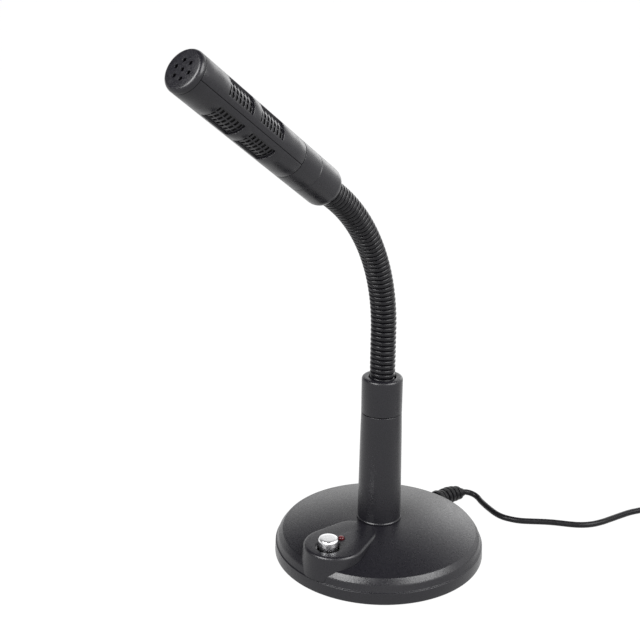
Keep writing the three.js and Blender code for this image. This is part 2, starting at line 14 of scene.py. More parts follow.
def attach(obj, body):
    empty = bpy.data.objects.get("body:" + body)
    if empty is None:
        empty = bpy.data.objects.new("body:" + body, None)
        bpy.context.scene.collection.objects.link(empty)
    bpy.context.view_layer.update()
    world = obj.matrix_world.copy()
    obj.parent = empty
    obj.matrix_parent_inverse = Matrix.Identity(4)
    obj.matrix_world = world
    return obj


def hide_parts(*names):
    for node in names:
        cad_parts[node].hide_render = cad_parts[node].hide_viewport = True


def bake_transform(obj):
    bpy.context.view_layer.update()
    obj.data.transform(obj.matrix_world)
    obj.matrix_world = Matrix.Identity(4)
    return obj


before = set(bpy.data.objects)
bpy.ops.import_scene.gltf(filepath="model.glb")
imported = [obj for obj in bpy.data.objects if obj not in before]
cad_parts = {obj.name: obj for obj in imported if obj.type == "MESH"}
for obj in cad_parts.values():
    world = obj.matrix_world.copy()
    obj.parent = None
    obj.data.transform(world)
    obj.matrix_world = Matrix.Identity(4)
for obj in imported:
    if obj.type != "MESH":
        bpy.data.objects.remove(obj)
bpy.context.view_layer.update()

MM = 0.001

# ------------------------------------------------------------------ driving sizes, in millimetres
BASE_R = 50
WALL_TOP_Z = 6.3
RIM_R = 46.1
RIM_Z = 12.2
DOME_Z = 18.2
DOME_FLAT_R = 11
SHELL_T = 2.2
POST_HOLE_R = 6.4
EXIT_HOLE_R = 3.6
DOME_POWER = 1.7
COVER_SIDES = 144

POST_FOOT_R = 10.45
POST_HEAD_R = 9.45
SEAM_Z = 72.6
COLLAR_TOP_Z = 90
COLLAR_R = 9.5
COLLAR_SPIGOT_R = 7.1
COLLAR_SPIGOT_Z = SEAM_Z - 9
POST_SPIGOT_R = 6
POST_SPIGOT_Z = 9.9
POST_BORE_R = 3.6
POST_SIDES = 112

POD_Y = -34
POD_R = 14.4
POD_TAIL_Y = -20.5
POD_TAIL_R = 11.2
POD_TOP_Z = 18.4
POD_DRAFT = 0.15
POD_GAP = 0.12
POD_T = 2.3
BUTTON_Y = -38.5
BUTTON_R = 4.6
BUTTON_TOP_Z = 22.8
BUTTON_WELL_R = 5.1
LED_Y = -29
LED_R = 1.45
LED_FLANGE_R = 1.85
LED_WELL_R = 1.6

CAPSULE_R = 8.55
CAPSULE_L = 93.4
CAPSULE_RISE = math.radians(34.3)
CAPSULE_ROLL = math.radians(-15.5)
CAPSULE_BACK = (0, -41.8, 183.4)
FRONT_SEAM = CAPSULE_L - 2.2
BACK_SEAM = CAPSULE_L - 65
TAIL_SEAM = CAPSULE_L - 76.5
WINDOWS = [(43.4, 58.1), (62.6, 77.2)]
WINDOW_MIDDLE = 43  # degrees from the middle of a half shell
WINDOW_HALF_ANGLE = 31
SHELL_IN_R = 7.1
WINDOW_FLOOR_R = 7.65

NECK_R = 5.8
NECK_BEND_R = 80
NECK_JOINTS = 12
RIBS_PER_JOINT = 4

LEAD_D = 3.0
RELIEF_FOOT_Y = 52.6
RELIEF_TIP_Y = 70
RELIEF_SIDE = 3.2
RELIEF_DROP = 1.4
LEAD_Z = 5.5
COIL_X, COIL_Y = 110, 138
PLUG_X, PLUG_Y, PLUG_Z = 135, 116, 4.3


# ------------------------------------------------------------------ camera and lead
CAMERA_PLACE = (0.2721, -0.3754, 0.2698)  # metres
CAMERA_RIGHT = (0.7705, 0.6374, 0.0051)
CAMERA_FORWARD = (-0.604, 0.7327, -0.3136)
CAMERA_LENS = 60.63
CAMERA_SENSOR = 36


def add_camera():
    """The photograph's view, squared up from its right and forward directions."""
    right = Vector(CAMERA_RIGHT).normalized()
    forward = Vector(CAMERA_FORWARD).normalized()
    up = right.cross(forward).normalized()
    right = forward.cross(up)
    data = bpy.data.cameras.new("camera")
    data.lens = CAMERA_LENS
    data.sensor_width = CAMERA_SENSOR
    camera = bpy.data.objects.new("camera", data)
    turn = Matrix((right, up, -forward)).transposed()
    camera.matrix_world = Matrix.Translation(CAMERA_PLACE) @ turn.to_4x4()
    bpy.context.collection.objects.link(camera)
    bpy.context.scene.camera = camera


LEAD_ROUTE = [
    (3.3, 70.2, 4.05),
    (4.6, 72.4, 3.55),
    (6.9, 73.9, 2.9),
    (9.8, 74.1, 2.1),
    (13.6, 72, 1.6),
    (18, 69.4, 1.6),
    (22.3, 67.2, 1.6),
    (26.4, 65.4, 1.6),
    (30.8, 64.4, 1.6),
    (35.5, 64.9, 1.6),
    (40.2, 66.6, 1.6),
    (44.5, 69.4, 1.6),
    (48.5, 72.3, 1.6),
    (52.7, 75.1, 1.6),
    (57.1, 77.5, 1.6),
    (61.5, 79.7, 1.6),
    (65.7, 82.4, 1.6),
    (69.4, 86.2, 1.6),
    (72.3, 91.3, 1.6),
    (74.7, 97.8, 1.6),
    (77, 104.6, 1.6),
    (79.4, 111, 1.6),
    (82.3, 116.4, 1.6),
    (85.4, 122, 1.7),
    (87.8, 128.4, 1.9),
]
TAIL_ROUTE = [
    (133.2, 133, 9.4),
    (134.4, 128.4, 7.4),
    (134.9, 124, 5.6),
    (135, 120, 4.6),
    (135, 115.6, 4.3),
]
TURN_RADII = [21.05, 18, 14.95]  # the coil's turns in one layer, from the outside in
TURN_STEP = 3.05
COIL_LOW_Z = 2.0
COIL_TURNS = 11.5
POINTS_PER_TURN = 16
COIL_START = math.radians(183)
COIL_LAYERS = 4
COIL_SHIFT = 0.2  # share of a turn in which the lead moves over to the next


def coil_route():
    """Clockwise turns, layer on layer, inwards on one layer and outwards on the next."""
    radii = [*TURN_RADII, *TURN_RADII[::-1]] * (COIL_LAYERS // 2)
    levels = [COIL_LOW_Z + TURN_STEP * (turn // len(TURN_RADII)) for turn in range(len(radii))]
    points = []
    for i in range(int(COIL_TURNS * POINTS_PER_TURN)):
        turn, part = divmod(i / POINTS_PER_TURN, 1)
        turn = int(turn)
        following = min(turn + 1, len(radii) - 1)
        step = min(max((part - (1 - COIL_SHIFT)) / COIL_SHIFT, 0), 1)
        step = step * step * (3 - 2 * step)
        radius = radii[turn] + (radii[following] - radii[turn]) * step
        level = levels[turn] + (levels[following] - levels[turn]) * step
        angle = COIL_START - math.tau * i / POINTS_PER_TURN
        points.append(
            (COIL_X + radius * math.cos(angle), COIL_Y + radius * math.sin(angle), level)
        )
    return points


def add_lead():
    route = [*LEAD_ROUTE, *coil_route(), *TAIL_ROUTE]
    data = bpy.data.curves.new("usb_lead_cord", "CURVE")
    data.dimensions = "3D"
    spline = data.splines.new("BEZIER")
    spline.bezier_points.add(len(route) - 1)
    for point, place in zip(spline.bezier_points, route):
        point.co = Vector(place) * MM
        point.handle_left_type = point.handle_right_type = "AUTO"
    spline.resolution_u = 5
    data.bevel_depth = LEAD_D / 2 * MM
    data.bevel_resolution = 3
    lead = bpy.data.objects.new("usb_lead_cord", data)
    bpy.context.collection.objects.link(lead)
    return lead


# ------------------------------------------------------------------ materials
def new_material(name, color, roughness, metallic=0.0, specular=0.5):
    material = bpy.data.materials.new(name)
    material.use_nodes = True
    shader = material.node_tree.nodes["Principled BSDF"]
    shader.inputs["Base Color"].default_value = (*color, 1)
    shader.inputs["Roughness"].default_value = roughness
    shader.inputs["Metallic"].default_value = metallic
    shader.inputs["Specular IOR Level"].default_value = specular
    return material


def add_node(material, kind, **inputs):
    node = material.node_tree.nodes.new(kind)
    for name, value in inputs.items():
        node.inputs[name.replace("_", " ")].default_value = value
    return node


def noise(material, scale, detail=3.0):
    """A noise node on the surface's own coordinates; scale is in features per metre."""
    tree = material.node_tree
    place = tree.nodes.new("ShaderNodeTexCoord")
    node = add_node(material, "ShaderNodeTexNoise", Scale=scale, Detail=detail)
    tree.links.new(place.outputs["Object"], node.inputs["Vector"])
    return node.outputs["Fac"]


def ramp(material, source, low, high, colors):
    """Turns a 0 to 1 value into colours between two stops."""
    node = material.node_tree.nodes.new("ShaderNodeValToRGB")
    node.color_ramp.elements[0].position = low
    node.color_ramp.elements[1].position = high
    for element, color in zip(node.color_ramp.elements, colors):
        element.color = (*color, 1)
    material.node_tree.links.new(source, node.inputs["Fac"])
    return node.outputs["Color"]


def vary_color(material, scale, dark, light):
    shader = material.node_tree.nodes["Principled BSDF"]
    color = ramp(material, noise(material, scale), 0.35, 0.65, (dark, light))
    material.node_tree.links.new(color, shader.inputs["Base Color"])


def vary_roughness(material, scale, smooth, rough):
    shader = material.node_tree.nodes["Principled BSDF"]
    grey = ramp(material, noise(material, scale), 0.3, 0.7, ((smooth,) * 3, (rough,) * 3))
    material.node_tree.links.new(grey, shader.inputs["Roughness"])


def bump(material, source, height, strength):
    """Makes the surface look raised by the source, from 0 to height metres."""
    tree = material.node_tree
    node = add_node(material, "ShaderNodeBump", Strength=strength, Distance=height)
    tree.links.new(source, node.inputs["Height"])
    tree.links.new(node.outputs["Normal"], tree.nodes["Principled BSDF"].inputs["Normal"])


BLACK = (0.005, 0.0048, 0.0064)
BLACK_RANGE = ((0.0034, 0.0032, 0.0046), (0.007, 0.0066, 0.0088))


def moulded_plastic():
    """Black ABS with a fine spark-eroded texture."""
    material = new_material("moulded_plastic", BLACK, 0.3, specular=0.36)
    vary_color(material, 2600, *BLACK_RANGE)
    vary_roughness(material, 900, 0.25, 0.35)
    bump(material, noise(material, 2300, 2.0), 0.00008, 0.8)
    return material


def capsule_plastic():
    """The same plastic with a slightly smoother skin."""
    material = new_material("capsule_plastic", BLACK, 0.3, specular=0.34)
    vary_color(material, 2200, *BLACK_RANGE)
    vary_roughness(material, 700, 0.25, 0.35)
    bump(material, noise(material, 2600, 2.0), 0.00005, 0.6)
    return material


def neck_paint():
    """Satin black paint on the gooseneck's steel coil, slightly uneven."""
    material = new_material("neck_paint", (0.0036, 0.0034, 0.0044), 0.3, specular=0.22)
    vary_color(material, 1500, (0.0022, 0.0021, 0.0028), (0.005, 0.0048, 0.006))
    vary_roughness(material, 1200, 0.24, 0.36)
    bump(material, noise(material, 2600, 2.0), 0.00002, 0.4)
    return material


def lead_jacket():
    """Soft PVC jacket of the lead, its relief and the plug's overmould."""
    material = new_material("lead_jacket", (0.005, 0.0049, 0.0058), 0.36, specular=0.16)
    vary_color(material, 1200, (0.003, 0.0029, 0.0036), (0.007, 0.0068, 0.0078))
    vary_roughness(material, 800, 0.3, 0.42)
    bump(material, noise(material, 2400, 2.0), 0.00003, 0.4)
    return material


def plated_silver():
    """Satin metal plating with a faint grain."""
    material = new_material("plated_silver", (0.68, 0.68, 0.69), 0.24, 1.0)
    vary_color(material, 1800, (0.78, 0.78, 0.79), (0.9, 0.9, 0.91))
    vary_roughness(material, 2500, 0.18, 0.32)
    bump(material, noise(material, 4000, 2.0), 0.00001, 0.3)
    return material


def red_lens():
    material = new_material("red_lens", (0.05, 0.002, 0.004), 0.12)
    vary_color(material, 900, (0.035, 0.001, 0.003), (0.065, 0.003, 0.005))
    return material


def steel():
    material = new_material("steel", (0.55, 0.55, 0.56), 0.3, 1.0)
    vary_roughness(material, 3000, 0.22, 0.4)
    return material


def foam():
    material = new_material("foam", (0.01, 0.01, 0.01), 0.95)
    bump(material, noise(material, 3500, 4.0), 0.0002, 0.9)
    return material


UNEVENNESS = 0.85  # the darkest share of a plain colour


def plain(name, color, roughness, metallic=0.0):
    """One colour with slight unevenness, for small or inner parts."""
    material = new_material(name, color, roughness, metallic)
    vary_color(material, 900, tuple(UNEVENNESS * part for part in color), color)
    return material


# ------------------------------------------------------------------ mesh helpers
def add_object(name, mesh):
    piece = bpy.data.objects.new(name, mesh)
    bpy.context.collection.objects.link(piece)
    return piece


def mesh_piece(name, verts, faces):
    mesh = bpy.data.meshes.new(name)
    mesh.from_pydata([Vector(v) * MM for v in verts], [], faces)
    mesh.update()
    return add_object(name, mesh)


def apply_modifiers(piece):
    bpy.context.view_layer.update()
    depsgraph = bpy.context.evaluated_depsgraph_get()
    mesh = bpy.data.meshes.new_from_object(piece.evaluated_get(depsgraph))
    piece.modifiers.clear()
    piece.data = mesh
    return piece


def smooth(piece, angle=32):
    piece.data.shade_smooth()
    piece.data.set_sharp_from_angle(angle=math.radians(angle))
    return piece


def outward(piece):
    work = bmesh.new()
    work.from_mesh(piece.data)
    bmesh.ops.recalc_face_normals(work, faces=work.faces)
    work.to_mesh(piece.data)
    work.free()
    return piece


def move(piece, matrix):
    piece.data.transform(matrix)
    return piece


def place(piece, x=0, y=0, z=0):
    return move(piece, Matrix.Translation(Vector((x, y, z)) * MM))


def fillet(corners, steps=5):
    """Rounds a profile's corners: each is (radius, height) or (radius, height, fillet radius)."""
    points = []
    for i, corner in enumerate(corners):
        here = Vector(corner[:2])
        if len(corner) == 2:
            points.append(here)
            continue
        before = Vector(corners[i - 1][:2]) - here
        after = Vector(corners[(i + 1) % len(corners)][:2]) - here
        half = before.angle(after) / 2
        reach = min(corner[2] / math.tan(half), before.length * 0.49, after.length * 0.49)
        start, end = here + before.normalized() * reach, here + after.normalized() * reach
        for k in range(steps + 1):
            t = k / steps
            points.append(start * (1 - t) ** 2 + here * 2 * t * (1 - t) + end * t**2)
    return points


def lathe(name, corners, sides=96, steps=5):
    """A solid of revolution about Z from a profile that closes on itself."""
    points = fillet(corners, steps)
    verts, rings, faces = [], [], []
    for radius, height in points:
        if radius < 1e-6:
            rings.append([len(verts)])
            verts.append((0, 0, height))
            continue
        rings.append(list(range(len(verts), len(verts) + sides)))
        for k in range(sides):
            angle = math.tau * k / sides
            verts.append((radius * math.cos(angle), radius * math.sin(angle), height))
    for a, b in zip(rings, rings[1:] + rings[:1]):
        if len(a) == len(b) == 1:
            continue
        for k in range(sides):
            j = (k + 1) % sides
            if len(a) == 1:
                faces.append((a[0], b[k], b[j]))
            elif len(b) == 1:
                faces.append((a[k], b[0], a[j]))
            else:
                faces.append((a[k], b[k], b[j], a[j]))
    return outward(mesh_piece(name, verts, faces))


def rod(radius, low, high):
    """A plain cylinder's profile."""
    return [(0, low), (radius, low), (radius, high), (0, high)]


def loft(name, layers):
    """Joins outlines with equal point counts, given as (height, points), into a closed solid."""
    count = len(layers[0][1])
    verts = [(x, y, z) for z, outline in layers for x, y in outline]
    faces = [tuple(range(count))[::-1]]
    for row in range(len(layers) - 1):
        for i in range(count):
            j = (i + 1) % count
            a, b = row * count, (row + 1) * count
            faces.append((a + i, a + j, b + j, b + i))
    faces.append(tuple(range((len(layers) - 1) * count, len(layers) * count)))
    return outward(mesh_piece(name, verts, faces))


def box(name, size, centre):
    verts = [
        tuple(c + s * sign / 2 for c, s, sign in zip(centre, size, signs))
        for signs in ((a, b, c) for a in (-1, 1) for b in (-1, 1) for c in (-1, 1))
    ]
    faces = [(0, 1, 3, 2), (4, 6, 7, 5), (0, 4, 5, 1), (2, 3, 7, 6), (0, 2, 6, 4), (1, 5, 7, 3)]
    return outward(mesh_piece(name, verts, faces))


def combine(target, operation, *tools):
    """Cuts from, adds to or intersects the target with each tool, which it uses up."""
    for tool in tools:
        modifier = target.modifiers.new("combine", "BOOLEAN")
        modifier.operation = operation
        modifier.solver = "EXACT"
        modifier.object = tool
        apply_modifiers(target)
        bpy.data.objects.remove(tool)
    return target


def bevel(piece, width, segments=2, angle=35):
    modifier = piece.modifiers.new("bevel", "BEVEL")
    modifier.width = width * MM
    modifier.segments = segments
    modifier.limit_method = "ANGLE"
    modifier.angle_limit = math.radians(angle)
    modifier.harden_normals = False
    return apply_modifiers(piece)


def settle(piece, body, slot, material, *nodes):
    """Gives a finished piece its material, its body and the CAD nodes that it stands for."""
    piece.data.materials.clear()
    piece.data.materials.append(material)
    if nodes:
        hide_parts(*nodes)
    if body:
        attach(piece, body)
    return piece


# ------------------------------------------------------------------ base
def dome_z(radius):
    reach = max(radius - DOME_FLAT_R, 0) / (RIM_R - DOME_FLAT_R)
    return DOME_Z - (DOME_Z - RIM_Z) * reach**DOME_POWER


def dome_points(inner, outer, steps, inset=0.0):
    return [
        (outer + (inner - outer) * k / steps, dome_z(outer + (inner - outer) * k / steps) - inset)
        for k in range(steps + 1)
    ]


def base_outline(grow=0.0):
    """The base's outside from the foot of its wall to the edge of its dome."""
    return [
        (BASE_R + grow, 0.8, 0.5),
        (BASE_R - 0.3 + grow, WALL_TOP_Z, 0.25),
        (BASE_R - 0.9 + grow, WALL_TOP_Z + 0.3, 0.2),
        (BASE_R - 1.7 + grow, 9.6, 3),
        (RIM_R + 0.2 + grow, RIM_Z + grow, 1.2),
    ]


def pod_outline(grow):
    """Round at the front, with straight flanks to a narrower back end."""
    lean = math.asin((POD_R - POD_TAIL_R) / (POD_TAIL_Y - POD_Y))
    points = []
    for centre, radius, start, end, steps in (
        (POD_TAIL_Y, POD_TAIL_R, lean, math.pi - lean, 30),
        (POD_Y, POD_R, math.pi - lean, math.tau + lean, 64),
    ):
        for k in range(steps + 1):
            angle = start + (end - start) * k / steps
            reach = radius + grow
            points.append((reach * math.cos(angle), centre + reach * math.sin(angle)))
    return points


def pod_solid(name, grow, top, bottom, edge, steps=5):
    """The pod's drafted block, with its top edge rounded by edge."""
    layers = [(bottom, pod_outline(grow + POD_DRAFT * (top - edge - bottom)))]
    for k in range(steps + 1):
        angle = math.pi / 2 * k / steps
        inset = edge * (1 - math.cos(angle))
        layers.append((top - edge + edge * math.sin(angle), pod_outline(grow - inset)))
    return loft(name, layers)


def add_base(plastic):
    inside = [
        (POST_HOLE_R, DOME_Z - SHELL_T),
        *dome_points(44.4, DOME_FLAT_R, 10, SHELL_T),
        (BASE_R - 0.6 - SHELL_T, WALL_TOP_Z),
        (BASE_R - SHELL_T, 0.8),
    ]
    cover = lathe(
        "base_shell",
        [*base_outline(), *dome_points(POST_HOLE_R, RIM_R - 1, 28), *inside],
        COVER_SIDES,
    )
    opening = pod_solid("pod_opening", -3.4, 30, 7, 1)
    exit_hole = lathe("exit_hole", rod(EXIT_HOLE_R, 40, 55), 32)
    move(exit_hole, Matrix.Rotation(-math.pi / 2, 4, "X"))
    place(exit_hole, z=LEAD_Z)
    combine(cover, "DIFFERENCE", opening, exit_hole)
    settle(smooth(cover), "base", "black_shell", plastic, "base_cover")


def add_pod(plastic):
    pod = pod_solid("switch_pod", 0, POD_TOP_Z, WALL_TOP_Z + 0.4, 1.5)
    envelope = lathe(
        "envelope",
        [(0, 0), (BASE_R + POD_GAP, 0), *base_outline(POD_GAP),
         *dome_points(0, RIM_R - 1, 28, -POD_GAP)],
        COVER_SIDES,
    )
    hollow = pod_solid("hollow", -POD_T, POD_TOP_Z - 2, 5, 1)
    button_well = lathe(
        "button_well",
        [(0, 10), (BUTTON_WELL_R, 10), (BUTTON_WELL_R, POD_TOP_Z - 0.7, 0.2),
         (BUTTON_WELL_R + 0.6, POD_TOP_Z - 0.35, 0.2), (BUTTON_WELL_R + 1, POD_TOP_Z + 0.05),
         (BUTTON_WELL_R + 1, 30), (0, 30)],
        64,
    )
    lamp_well = lathe(
        "lamp_well",
        [(0, 10), (LED_WELL_R, 10), (LED_WELL_R, POD_TOP_Z - 0.2, 0.1),
         (LED_WELL_R + 0.3, POD_TOP_Z + 0.05), (LED_WELL_R + 0.3, 30), (0, 30)],
        32,
    )
    post_room = lathe("post_room", rod(POST_FOOT_R + 1.2, 10, 30), 96)
    place(button_well, y=BUTTON_Y)
    place(lamp_well, y=LED_Y)
    combine(pod, "DIFFERENCE", envelope, hollow, button_well, lamp_well, post_room)
    settle(smooth(pod), "base", "black_shell", plastic, "pod_cover")


def add_button(silver):
    cap = lathe(
        "button_top",
        [(0, POD_TOP_Z - 2.6), (4.2, POD_TOP_Z - 2.6, 0.3), (4.35, POD_TOP_Z),
         (BUTTON_R, BUTTON_TOP_Z - 0.9, 0.5), (BUTTON_R - 0.35, BUTTON_TOP_Z - 0.1, 0.5),
         (3, BUTTON_TOP_Z, 1), (0, BUTTON_TOP_Z + 0.05)],
        72,
    )
    settle(smooth(place(cap, y=BUTTON_Y)), "button", "silver", silver, "button_cap")


def add_lamp(lens):
    bulb = lathe(
        "lamp_lens",
        [(0, 13.4), (LED_FLANGE_R, 13.4, 0.1), (LED_FLANGE_R, 14.3, 0.1), (LED_R, 14.4, 0.1),
         (LED_R, POD_TOP_Z + 0.9, 1.2), (0, POD_TOP_Z + 1.05)],
        40,
    )
    place(bulb, y=LED_Y)
    legs = [box("leg", (0.6, 0.6, 5.9), (side * 0.9, LED_Y, 10.75)) for side in (-1, 1)]
    combine(bulb, "UNION", *legs)
    settle(smooth(bulb), "base", "led_red", lens, "led")


# ------------------------------------------------------------------ post
def add_post(plastic):
    foot = DOME_Z + 0.15
    post = lathe(
        "post_body",
        [(POST_BORE_R, POST_SPIGOT_Z), (POST_SPIGOT_R, POST_SPIGOT_Z), (POST_SPIGOT_R, foot),
         (POST_FOOT_R + 0.25, foot, 0.15),
         (POST_FOOT_R + 0.2, foot + 0.5, 0.2), (POST_FOOT_R - 0.1, foot + 0.9, 0.2),
         (POST_HEAD_R + 0.25, SEAM_Z - 10), (POST_HEAD_R, SEAM_Z - 0.1, 0.35),
         (7.4, SEAM_Z - 0.1), (7.4, 26), (POST_BORE_R, 22)],
        POST_SIDES,
    )
    settle(smooth(post), "base", "black_shell", plastic, "post")
    collar = lathe(
        "neck_collar",
        [(COLLAR_SPIGOT_R, COLLAR_SPIGOT_Z), (COLLAR_SPIGOT_R, SEAM_Z + 0.15),
         (COLLAR_R, SEAM_Z + 0.15, 0.35),
         (COLLAR_R, COLLAR_TOP_Z, 1.7), (6.4, COLLAR_TOP_Z, 0.5), (6.1, COLLAR_TOP_Z - 2.2, 0.3),
         (6.0, 76.5), (4.6, 76.5), (4.6, COLLAR_SPIGOT_Z)],
        POST_SIDES,
    )
    settle(smooth(collar), "base", "black_shell", plastic, "collar")


# ------------------------------------------------------------------ gooseneck
LEAN = math.pi / 2 - CAPSULE_RISE
NECK_TOP_RUN = (-CAPSULE_BACK[1] - NECK_BEND_R * (1 - math.cos(LEAN))) / math.sin(LEAN)
NECK_BEND_Z = CAPSULE_BACK[2] - NECK_TOP_RUN * math.cos(LEAN) - NECK_BEND_R * math.sin(LEAN)
NECK_FOOT_RUN = NECK_BEND_Z - COLLAR_TOP_Z
NECK_L = NECK_FOOT_RUN + NECK_BEND_R * LEAN + NECK_TOP_RUN
JOINT_STEP = NECK_L / NECK_JOINTS
RIB_PITCH = JOINT_STEP / RIBS_PER_JOINT
RIB_DEPTH = 1.1
RIB_SHARPNESS = 4
RIB_ROWS = 14
NECK_SIDES = 56
NECK_BORE_R = 4.2
NECK_IN_COLLAR = 5
NECK_IN_CAPSULE = 9


def neck_point(length):
    """Centre line's point and its lean from the vertical, at a length from the collar's top."""
    turn = min(max((length - NECK_FOOT_RUN) / NECK_BEND_R, 0), LEAN)
    past = max(length - NECK_FOOT_RUN - NECK_BEND_R * LEAN, 0)
    y = -NECK_BEND_R * (1 - math.cos(turn)) - past * math.sin(turn)
    z = COLLAR_TOP_Z + min(length, NECK_FOOT_RUN) + NECK_BEND_R * math.sin(turn)
    return Vector((0, y, z + past * math.cos(turn))), turn


def rib_radius(length, angle):
    """The coil's outside: broad round wire with a narrow groove between its turns."""
    phase = (length / RIB_PITCH + angle / math.tau) % 1
    away = abs(2 * phase - 1)
    return NECK_R + 0.05 - RIB_DEPTH * away**RIB_SHARPNESS


def add_neck(paint):
    for joint in range(1, NECK_JOINTS + 1):
        start, end = JOINT_STEP * (joint - 1), JOINT_STEP * joint
        low = start - (NECK_IN_COLLAR if joint == 1 else 0)
        high = end + (NECK_IN_CAPSULE if joint == NECK_JOINTS else 0)
        rows = round((high - low) / RIB_PITCH * RIB_ROWS)
        verts, faces = [], []
        lengths = [low + (high - low) * row / rows for row in range(rows + 1)]
        inner = [(high, NECK_BORE_R), (low, NECK_BORE_R)]
        for length, bore in [(length, None) for length in lengths] + inner:
            centre, turn = neck_point(length)
            side = Vector((0, math.cos(turn), math.sin(turn)))
            for k in range(NECK_SIDES):
                angle = math.tau * k / NECK_SIDES
                radius = bore or rib_radius(length, angle)
                out = Vector((math.cos(angle), 0, 0)) + side * math.sin(angle)
                verts.append(centre + out * radius)
        rings = len(lengths) + len(inner)
        for row in range(rings):
            a, b = row * NECK_SIDES, (row + 1) % rings * NECK_SIDES
            for k in range(NECK_SIDES):
                j = (k + 1) % NECK_SIDES
                faces.append((a + k, a + j, b + j, b + k))
        piece = outward(mesh_piece(f"gooseneck_{joint:02d}", verts, faces))
        nodes = ["neck_head_ferrule" if joint == NECK_JOINTS else f"neck_link_{joint:02d}"]
        if joint == 1:
            nodes.append("neck_foot_ferrule")
        settle(smooth(piece, 60), None, "neck_steel", paint, *nodes)
        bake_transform(piece)


# ------------------------------------------------------------------ capsule
CAPSULE_PLACE = (
    Matrix.Translation(Vector(CAPSULE_BACK) * MM)
    @ Matrix.Rotation(LEAN, 4, "X")
    @ Matrix.Rotation(CAPSULE_ROLL, 4, "Z")
)


def on_capsule(piece, slot, material, *nodes):
    """Moves a piece made along Z to the capsule's axis."""
    return settle(move(piece, CAPSULE_PLACE), "capsule", slot, material, *nodes)


def cell_tube(name, radius, thickness, levels, angles, is_open):
    """A thin round wall made of cells, with the cells left out that is_open names.

    levels are heights and angles are in degrees from +Y.
    """
    columns = len(angles)
    verts = []
    for level in levels:
        for angle in angles:
            turn = math.radians(angle)
            verts.append((-radius * math.sin(turn), radius * math.cos(turn), level))
    faces = []
    for i in range(len(levels) - 1):
        for j in range(columns - 1):
            height, angle = (levels[i] + levels[i + 1]) / 2, (angles[j] + angles[j + 1]) / 2
            if is_open(height, angle):
                continue
            a, b = i * columns + j, (i + 1) * columns + j
            faces.append((a, a + 1, b + 1, b))
    piece = mesh_piece(name, verts, faces)
    work = bmesh.new()
    work.from_mesh(piece.data)
    bmesh.ops.delete(work, geom=[v for v in work.verts if not v.link_faces], context="VERTS")
    bmesh.ops.recalc_face_normals(work, faces=work.faces)
    outside = sum(f.normal.dot(Vector((*f.calc_center_median().xy, 0))) for f in work.faces)
    if outside < 0:
        bmesh.ops.reverse_faces(work, faces=work.faces)
    work.to_mesh(piece.data)
    work.free()
    solidify = piece.modifiers.new("wall", "SOLIDIFY")
    solidify.thickness = thickness * MM
    solidify.offset = -1
    solidify.use_even_offset = True
    return apply_modifiers(piece)


def spaced(stops, step):
    """The stops, with evenly spaced values between them no further apart than about step."""
    values = []
    for start, end in zip(stops, stops[1:]):
        count = max(1, round((end - start) / step))
        values += [start + (end - start) * k / count for k in range(count)]
    return [*values, stops[-1]]


HALF_SHELL = 89.5  # degrees, so that a fine parting line stays open
SEAM_GAP = 0.12
SHELL_WALL = 1.4


def add_shells(plastic):
    """Both halves of the capsule's middle, each with four windows right through it."""
    ends = (BACK_SEAM + SEAM_GAP, FRONT_SEAM - SEAM_GAP)
    edges = sorted([*ends, *(z for window in WINDOWS for z in window)])
    for name, node, facing in (
        ("shell_top", "capsule_shell_upper", 0),
        ("shell_bottom", "capsule_shell_lower", 180),
    ):
        stops = [facing - HALF_SHELL]
        for middle in (facing - WINDOW_MIDDLE, facing + WINDOW_MIDDLE):
            stops += [middle - WINDOW_HALF_ANGLE, middle + WINDOW_HALF_ANGLE]
        stops.append(facing + HALF_SHELL)

        def in_window(height, angle):
            across = abs(abs(angle - facing) - WINDOW_MIDDLE) < WINDOW_HALF_ANGLE
            return across and any(low < height < high for low, high in WINDOWS)

        levels, angles = spaced(edges, 5), spaced(stops, 3.8)
        shell = cell_tube(name, CAPSULE_R, SHELL_WALL, levels, angles, in_window)
        bevel(shell, 0.16, 2, 50)
        on_capsule(smooth(shell), "black_shell", plastic, node)


SLOT_ROWS = (-19, 0, 19)  # degrees from a window's middle
SLOT_HALF_ANGLE = 7.6
SLOTS_IN_WINDOW = 7
SLOT_WIDTH = 1.1
WINDOW_FLOOR_T = 0.5


def add_window_floors(plastic):
    """The recessed floor of each window, with three rows of short slots."""
    for ring, (low, high) in enumerate(WINDOWS):
        pitch = (high - low) / SLOTS_IN_WINDOW
        slots = [low + pitch * (i + 0.5) for i in range(SLOTS_IN_WINDOW)]
        levels = [low - 0.3, high + 0.3]
        for slot in slots:
            levels += [slot - SLOT_WIDTH / 2, slot + SLOT_WIDTH / 2]
        for side in range(4):
            middle = 180 * (side // 2) + WINDOW_MIDDLE * (1 if side % 2 else -1)
            stops = [middle - WINDOW_HALF_ANGLE - 2]
            for row in SLOT_ROWS:
                stops += [middle + row - SLOT_HALF_ANGLE, middle + row + SLOT_HALF_ANGLE]
            stops.append(middle + WINDOW_HALF_ANGLE + 2)

            def in_slot(height, angle):
                across = any(abs(angle - middle - row) < SLOT_HALF_ANGLE for row in SLOT_ROWS)
                return across and any(abs(height - slot) < SLOT_WIDTH / 2 for slot in slots)

            name = f"window_floor_{ring + 1}_{side + 1}"
            floor = cell_tube(
                name, WINDOW_FLOOR_R, WINDOW_FLOOR_T, sorted(levels), spaced(stops, 3.6), in_slot
            )
            bevel(floor, 0.13, 1, 50)
            on_capsule(smooth(floor, 40), "black_shell", plastic)


END_STEPS = 6


def rounded_end(end, length, depth):
    """Profile points that round an end face over onto the capsule's side."""
    points = []
    for k in range(END_STEPS + 1):
        angle = math.pi / 2 * k / END_STEPS
        radius = CAPSULE_R - depth * (1 - math.sin(angle))
        points.append((radius, end + length * (1 - math.cos(angle))))
    return points


